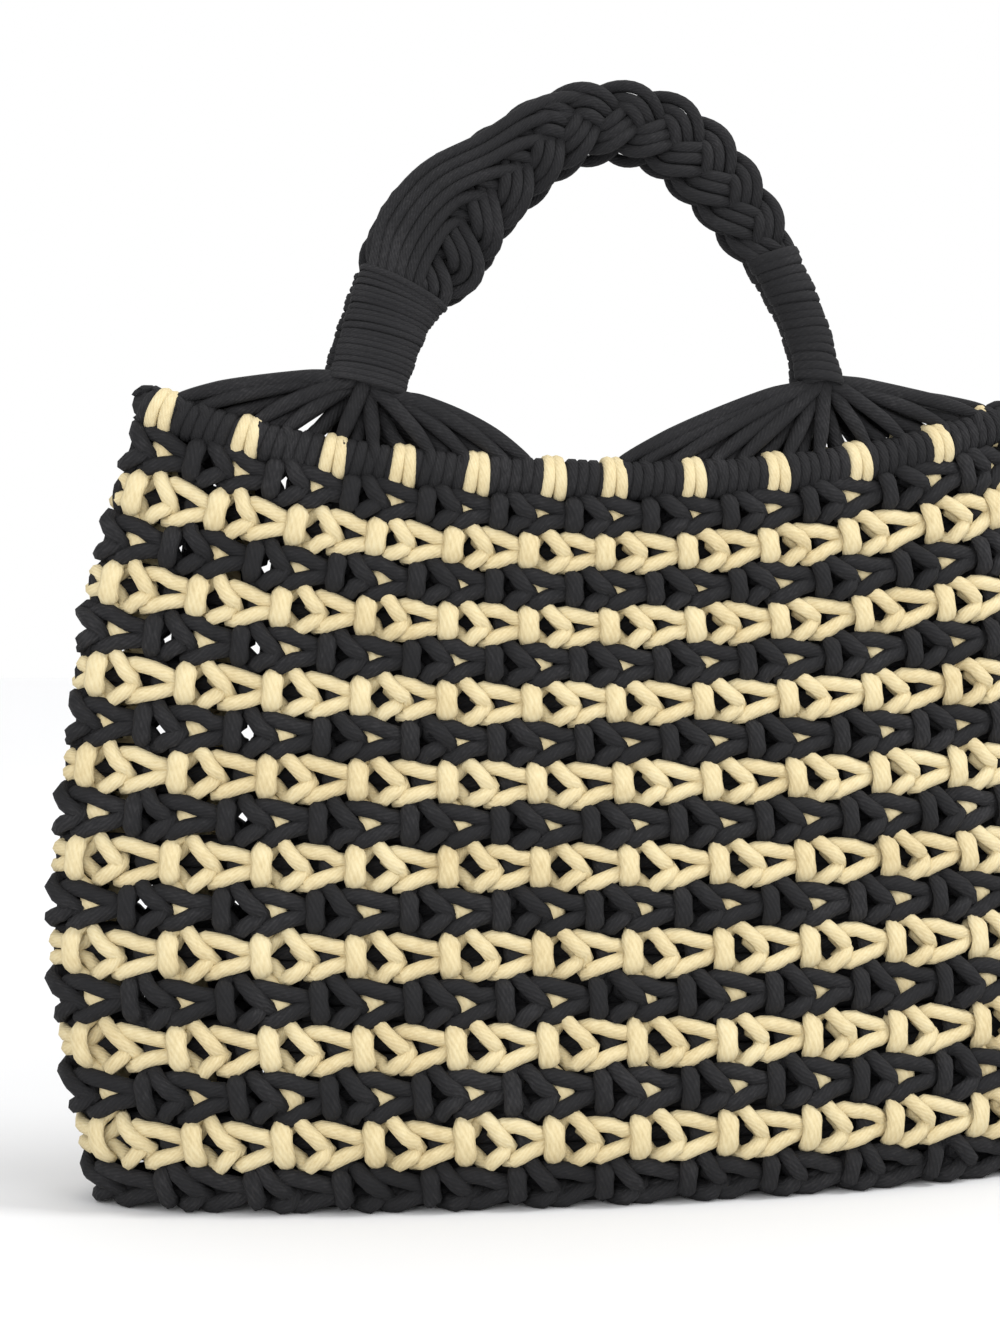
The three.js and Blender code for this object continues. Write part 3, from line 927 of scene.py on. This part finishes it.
def braid_cords(handle, phase):
    """Cords of the three strands.

    A strand's side is a sine of the distance, its lift the sine of twice that angle. Its cords lie beside
    it, along the direction square to the strand's own, which turns more gently than the strand does.
    """
    length = handle[2][-1]
    first = BINDING_TO["left"] - INTO_BINDING
    last = length - BINDING_TO["right"] + INTO_BINDING
    distance = np.arange(first, last, BRAID_STEP)
    pitch = np.interp(distance / length, PITCH_PLACES, PITCHES)
    swung = 2 * np.pi * (phase + np.cumsum(BRAID_STEP / pitch))
    from_end = np.minimum(distance - distance[0], distance[-1] - distance)
    gathered = 1 - bell(from_end, **GATHERED)
    width = stations(handle, distance)[3]
    swing = (width / 2 - BRAID_CORD * CORDS_IN_STRAND / 2 + SWINGS_WIDER) * gathered
    paths = []
    ups = []
    for strand in range(3):
        angle = swung + 2 * np.pi * strand / 3
        tilt = np.arctan(TURNS_WITH * swing * np.cos(angle) * 2 * np.pi / pitch)
        for cord in range(CORDS_IN_STRAND):
            beside = (cord - (CORDS_IN_STRAND - 1) / 2) * BRAID_CORD * OVERLAP * gathered
            slack = SLACK * np.sin(swung * SLACK_WAVES + rng.random() * 6)
            centre, across, deep, _ = stations(handle, distance - beside * np.sin(tilt))
            side = swing * np.sin(angle) + beside * np.cos(tilt) + slack
            lift = (BRAID_DEEP / 2 - BRAID_CORD * LIFT_LESS) * np.sin(2 * angle) * gathered
            paths.append(centre + across * side[:, None] + deep * lift[:, None])
            ups.append(deep)
    return np.stack(paths), np.stack(ups)


# %% [markdown]
# ## Loose cords along the outer edge
#
# On the left the braid begins late: some cords lie straight along the outer edge first, and are taken into
# the braid one after another. They are laid over the braid and end inside it, where nobody sees the end.

# %% Cords that dive into the braid
LOOSE_TO = np.array([146, 134, 120, 104, 88, 74]) * MM
LOOSE_STATIONS = 40
TURNS_IN_AT = 0.72
FIRST_IN = 2.0
NEXT_IN = 3.9
SQUEEZED = 0.72
OPENS = 1.6
SWINGS_IN = 9
LESS_EACH = 1.0
LIES_OVER = 4.6
ARCH = 2.2
OUTER_LOWER = 0.9
DIVES = 6


def loose_cords(handle, face):
    """Cords that leave the left binding on the outer edge and dive into the braid one after another.

    The distance from the edge grows by a cord's width from cord to cord, and near its end each cord swings
    inwards and sinks.
    """
    share = np.linspace(0, 1, LOOSE_STATIONS)
    first = BINDING_TO["left"] - INTO_BINDING
    paths = []
    ups = []
    for cord, last in enumerate(LOOSE_TO):
        centre, across, deep, width = stations(handle, first + (last - first) * share)
        turning = np.clip((share - TURNS_IN_AT) / (1 - TURNS_IN_AT), 0, 1) ** 2
        from_edge = (FIRST_IN + NEXT_IN * cord) * MM
        side = -(width / 2 - from_edge) * np.clip(SQUEEZED + share * OPENS, 0, 1)
        side = side + (SWINGS_IN - LESS_EACH * cord) * MM * turning
        outer = abs(cord - (len(LOOSE_TO) - 1) / 2)
        lift = (LIES_OVER + ARCH * np.sin(np.pi * share) - OUTER_LOWER * outer - DIVES * turning) * MM
        paths.append(centre + across * side[:, None] + deep * (face * lift)[:, None])
        ups.append(deep)
    return np.stack(paths), np.stack(ups)


# %% [markdown]
# ## The bindings
#
# Each end of the braid is whipped with thin cord: fine and level on the left, coarser and slanting on the
# right. As on the rim, it is one spiral, here round an oval, over a plain bundle that fills its inside.

# %% The bindings at both ends
BINDING_STATIONS = 20
BINDING_PROUD = 2.0 * MM
UNEVEN_TURNS = ((0.12, 0.31), (0.1, 1.13))
SWELL = 0.25 * MM
SWELL_WAVES = 0.217
THIN_ACROSS = 1.25
THIN_DEEP = 0.62
BUNDLE_SHORTER = 1 * MM
BUNDLE_NARROWER = 1.8 * MM
BUNDLE_DEEPER = 0.3 * MM
PITCH_AND_SLANT = {"left": (2.1 * MM, 0.8 * MM), "right": (3.4 * MM, 1.6 * MM)}


def binding(handle, end, pitch, slant):
    """A spiral round the oval bundle: the angle grows with the distance, and each turn leans a little."""
    turns = int((BINDING_TO[end] - BINDING_FROM[end]) / pitch)
    angle = np.linspace(0, 2 * np.pi * turns, turns * BINDING_STATIONS)
    uneven = sum(part * pitch * np.sin(angle * waves) for part, waves in UNEVEN_TURNS)
    distance = BINDING_FROM[end] + pitch * angle / (2 * np.pi) + slant * np.cos(angle) + uneven
    centre, across, deep, width = stations(handle, from_foot(handle, end, distance))
    half = pitch * 0.5
    swell = SWELL * np.sin(angle * SWELL_WAVES)
    away = across * (np.cos(angle) * (width / 2 - half + swell))[:, None]
    away = away + deep * (np.sin(angle) * (BRAID_DEEP / 2 + BINDING_PROUD - half + swell))[:, None]
    return (centre + away)[None], unit(away)[None], half


def bundle(handle, end):
    """The cords inside a binding, as one plain oval that the thin cord is wound on."""
    distance = np.linspace(BINDING_FROM[end] + BUNDLE_SHORTER, BINDING_TO[end] - BUNDLE_SHORTER, 12)
    centre, _, deep, width = stations(handle, from_foot(handle, end, distance))
    return centre[None], deep[None], (width / 2 - BUNDLE_NARROWER)[None], BRAID_DEEP / 2 + BUNDLE_DEEPER


# %% [markdown]
# ## The fans
#
# Below each binding the cords of the handle open out and are carried to the rim, where they sink in between
# its turns. Each landing is listed one by one, because the photograph shows them uneven. A second layer runs
# behind the first, as the cords that go to the rim's other side.

# %% Where the cords land, and a direction carried along them
FAN_LANDINGS = {
    "left": np.array([-62, -54, -36, -26, -8, 3, 22, 34, 47, 55]) * MM,
    "right": np.array([-75, -67, -56, -41, -31, -14, -2, 16, 30, 47, 61]) * MM,
}
FAN_CORD = 5.5 * MM
FAN_BOW = {"left": 0.7, "right": 0.35}
FAN_STATIONS = 46
FAN_LAYER = 1.6 * MM
LAYERS_PART = 1.2
ON_RIM = 0.5 * MM
LANDS = {"out": 0.3, "up": 0.95}
DROP_POWER = 0.9
LOWER_BEHIND = 0.4
BEHIND_BY = 4.5 * MM
IN_BINDING = ((7 * MM, 0.8), (1 * MM, 0.92))
ON_THE_WAY = (0.2, 0.5, 0.78)
INTO_THE_ROLL = ((75, 0.86), (35, 0.78), (-20, 0.6))
THINS_AT = (0, 0.55, 0.68, 1)
THINS_TO = (1, 1, 0.82, 0.7)


def carried_ups(paths, first):
    """Carries a direction along each path, taking off at every station the part along the path."""
    tangent = unit(np.gradient(paths, axis=1))
    ups = np.empty_like(paths)
    up = np.broadcast_to(first, paths[:, 0].shape)
    for station in range(paths.shape[1]):
        up = unit(up - np.sum(up * tangent[:, station], axis=-1, keepdims=True) * tangent[:, station])
        ups[:, station] = up
    return ups


# %% The cords of one fan
def fan_cords(handle, end, face, behind=False):
    """Each cord leaves the binding, bends over to its place on the rim, and sinks in between its turns.

    The outer cords set off level and fall late: the drop is the share of the way, raised to a power that
    grows towards the sides. A second layer behind runs between the first and ends inside the rim.
    """
    landings = FAN_LANDINGS[end]
    if behind:
        landings = (landings[1:] + landings[:-1]) / 2
    place = np.linspace(-1, 1, len(landings))
    layer = np.where(np.arange(len(landings)) % 2 == 0, 1, -1) * FAN_LAYER
    inwards = BEHIND_BY if behind else 0
    table = []
    for stop, spread in IN_BINDING:
        along = from_foot(handle, end, np.array(stop + BINDING_FROM[end]))
        centre, across, _, width = stations(handle, along)
        sideways = across * np.sign(across[0])
        half = width / 2 - FAN_CORD / 2
        point = centre + sideways * (place * half * spread)[:, None]
        point[:, 1] += face * (layer * (LAYERS_PART - np.abs(place)) - inwards / 2)
        table.append(point)
    foot = table[-1]
    centre = rim_at(foot.mean(axis=0)[0] + landings, face)
    radius = RIM_ROUND / 2 + ON_RIM
    landing = centre + np.array([0, face * LANDS["out"], LANDS["up"]]) * radius
    for share in ON_THE_WAY:
        drop = share ** (DROP_POWER + FAN_BOW[end] * np.abs(place))
        point = foot * (1 - share) + landing * share
        point[:, 2] = foot[:, 2] * (1 - drop) + landing[:, 2] * drop - inwards * LOWER_BEHIND
        point[:, 1] -= face * inwards
        table.append(point)
    way = -face if behind else face
    for degrees, reach in INTO_THE_ROLL:
        turned = np.radians(degrees)
        table.append(centre + np.array([0, way * np.cos(turned), np.sin(turned)]) * radius * reach)
    points = np.stack(table, axis=1)
    at = np.linspace(0, 1, FAN_STATIONS)
    paths = np.stack([curve_through(np.linspace(0, 1, len(table)), one, at) for one in points])
    return paths, carried_ups(paths, np.array([0, float(face), 0])), np.interp(at, THINS_AT, THINS_TO)


# %% [markdown]
# ## Both handles
#
# Both are made by the same functions. The back one stands a little to the right, and its braid starts at
# another phase, so that they don't look like copies.

# %% Every piece of the two handles
BRAID_PHASE = {"front": 0.1, "back": 0.45}
round_cord = BRAID_CORD / 2
fan_half = FAN_CORD / 2
for label, face in (("front", -1), ("back", 1)):
    handle = handles[label]
    paths, ups = braid_cords(handle, BRAID_PHASE[label])
    braid = cords(f"{label}_braid", paths, ups, round_cord, round_cord)
    dress(braid, black_cotton, "black_cord", f"{label}_handle_braid")
    paths, ups = loose_cords(handle, face)
    loose = cords(f"{label}_loose_cords", paths, ups, round_cord, round_cord)
    dress(loose, black_cotton, "black_cord")
    for end, (pitch, slant) in PITCH_AND_SLANT.items():
        path, up, half = binding(handle, end, pitch, slant)
        bound = cords(f"{label}_{end}_binding", path, up, half * THIN_ACROSS, half * THIN_DEEP, sides=6)
        dress(bound, thin_black, "black_cord", f"{label}_handle_{end}_wrap")
        path, up, wide, thick = bundle(handle, end)
        inner = cords(f"{label}_{end}_bundle", path, up, wide, thick, sides=16)
        dress(inner, black_cotton, "black_cord")
        paths, ups, thins = fan_cords(handle, end, face)
        fan = cords(f"{label}_{end}_fan", paths, ups, fan_half * thins, fan_half * thins)
        dress(fan, black_cotton, "black_cord", f"{label}_handle_{end}_fan")
        paths, ups, _ = fan_cords(handle, end, face, behind=True)
        lining = cords(f"{label}_{end}_fan_behind", paths, ups, fan_half, fan_half, sides=6)
        dress(lining, black_cotton, "black_cord")
    print(label, "handle made, braid of", len(braid.data.polygons), "faces")

# %% [markdown]
# ## The floor
#
# The bag stands on a pale floor without an edge. It is a big square whose colour grows paler with the
# distance from the bag: painted light, darker near the bag where the lamps light it most and paler far away
# where only the white world lights it, so that it fades into the white behind. A faint noise keeps it free of
# bands.

# %% A pale floor
FLOOR_HALF = 12.0
FADED_AT = 6.0
# Painted light: a slightly cool tint that cancels the warm cast that the light gives the floor.
FLOOR_TINT_AGAINST_WARM_LIGHT = (0.994, 0.997, 1.006)
# Painted light: paleness by the distance from the bag, low near it where the lamps light the floor most and
# high far away where only the world lights it, so that the floor looks evenly white.
FLOOR_PAINTED_LIGHT_FALLOFF = [(0.05, 0.75), (0.13, 0.84), (0.25, 0.93), (0.5, 0.96), (0.83, 0.98)]


def painted_light_floor():
    """Painted light: the distance from the bag plus a little noise, over the distance where it has faded,
    picks a paleness that is lowest where the lamps light the floor most.
    """
    material, tree, shader = matt_material("pale_floor", roughness=0.9, specular=0.2)
    place = tree.nodes.new("ShaderNodeTexCoord").outputs["Object"]
    reach = tree.nodes.new("ShaderNodeVectorMath")
    reach.operation = "LENGTH"
    tree.links.new(place, reach.inputs[0])
    mottle = noise(tree, place, scale=30, detail=2)
    uneven = maths(tree, "MULTIPLY_ADD", mottle, 0.06, reach.outputs["Value"])
    share = maths(tree, "DIVIDE", uneven, FADED_AT)
    stops = [(at, [pale * part for part in FLOOR_TINT_AGAINST_WARM_LIGHT]) for at, pale in FLOOR_PAINTED_LIGHT_FALLOFF]
    tree.links.new(colour_ramp(tree, share, stops), shader.inputs["Base Color"])
    return material


corners = np.array([(-1, -1, 0), (1, -1, 0), (1, 1, 0), (-1, 1, 0)]) * (FLOOR_HALF, FLOOR_HALF, 1)
floor = mesh_piece("floor", corners, [np.array([[0, 1, 2, 3]])])
floor.data.materials.append(painted_light_floor())
print("floor", 2 * FLOOR_HALF, "m wide")

# %% [markdown]
# ## Light
#
# The photograph has soft light from all round, a little stronger from the upper right and the front. A white
# world gives the first, and three square lamps the rest. They are large, so that their shadows are soft.

# %% Light
world = bpy.data.worlds.new("studio")
bpy.context.scene.world = world
world.use_nodes = True
background = world.node_tree.nodes["Background"].inputs
background["Color"].default_value = (1, 1, 1, 1)
background["Strength"].default_value = 1.0
BAG_MIDDLE = (0, 0, 0.15)
LAMPS = {
    "high_right": ((1.0, -0.35, 1.7), 0.5, 17),
    "front_right": ((0.9, -1.9, 0.9), 1.0, 9),
    "front_left": ((-0.9, -1.8, 0.6), 1.2, 19),
}

for name, (place, size, power) in LAMPS.items():
    light = bpy.data.lights.new(name, "AREA")
    light.size = size
    light.energy = power
    lamp = new_object(name, light)
    lamp.location = place
    lamp.rotation_euler = (Vector(BAG_MIDDLE) - Vector(place)).to_track_quat("-Z", "Y").to_euler()
print(len(LAMPS), "lamps of", sum(power for _, _, power in LAMPS.values()), "W in all")

# %% [markdown]
# ## The camera
#
# It stands where the photographer stood: left of the bag's middle, turned a little to the right, and almost
# level. The place and the lens were found by fitting the knots of the front to the photograph.

# %% Camera
PHOTO_HEIGHT = 1333
FOCAL_PIXELS = 2511
SENSOR = 36
CAMERA_PLACE = (-0.2112, -0.8776, 0.1933)
LOOKS_DOWN = 0.61
TURNED_RIGHT = 11.53
camera_data = bpy.data.cameras.new("camera")
camera_data.sensor_width = SENSOR
camera_data.lens = FOCAL_PIXELS / PHOTO_HEIGHT * SENSOR
camera = new_object("camera", camera_data)
camera.location = CAMERA_PLACE
camera.rotation_euler = (np.radians(90 - LOOKS_DOWN), 0, np.radians(-TURNED_RIGHT))
bpy.context.scene.camera = camera
bpy.context.scene.view_settings.view_transform = "Standard"
print("lens", round(camera_data.lens, 1), "mm")

# %% [markdown]
# ## The end

# %% The end
bpy.context.view_layer.update()
